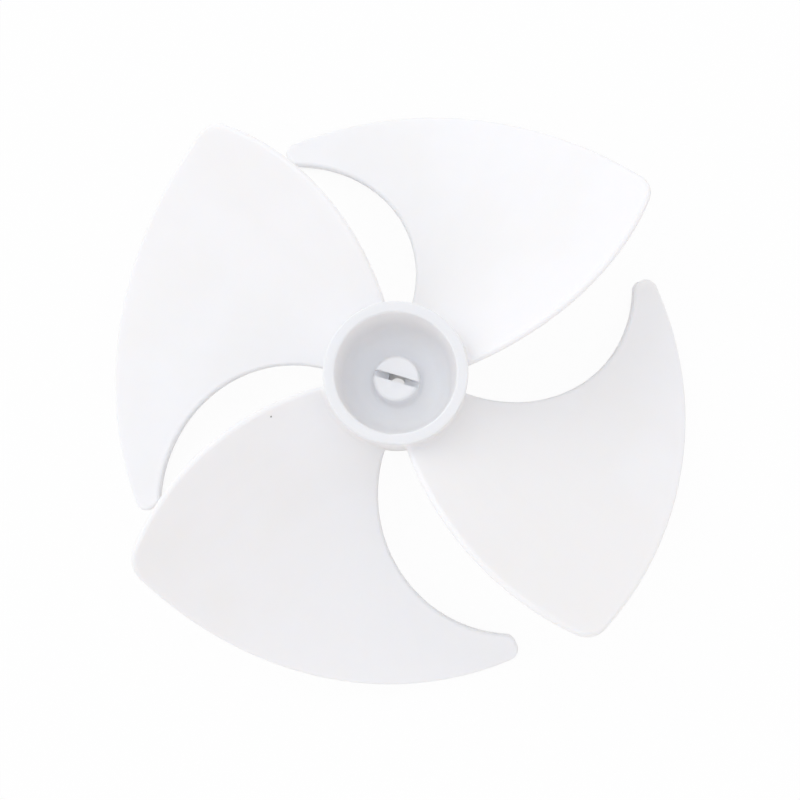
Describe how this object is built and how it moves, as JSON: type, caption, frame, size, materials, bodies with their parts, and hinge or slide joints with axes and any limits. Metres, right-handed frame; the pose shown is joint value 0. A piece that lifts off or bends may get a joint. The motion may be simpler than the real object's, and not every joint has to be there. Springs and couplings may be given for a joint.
{
  "type": "refrigerator fan blade",
  "caption": "Moulded axial fan wheel with swept cambered blades round a hub cup, pressed on a motor shaft to move cold air in a refrigerator.",
  "frame": {"origin": "mouth of the shaft bore, in the middle of the hub's back face", "axes": "+Z along the fan's axis, from the hub's back towards the open cup; the bore opens along -Z"},
  "size_m": [0.11, 0.11, 0.0333],
  "materials": {
    "white_plastic": "satin moulded white plastic"
  },
  "bodies": {
    "root": {"fan_blade": "white_plastic"}
  },
  "joints": []
}
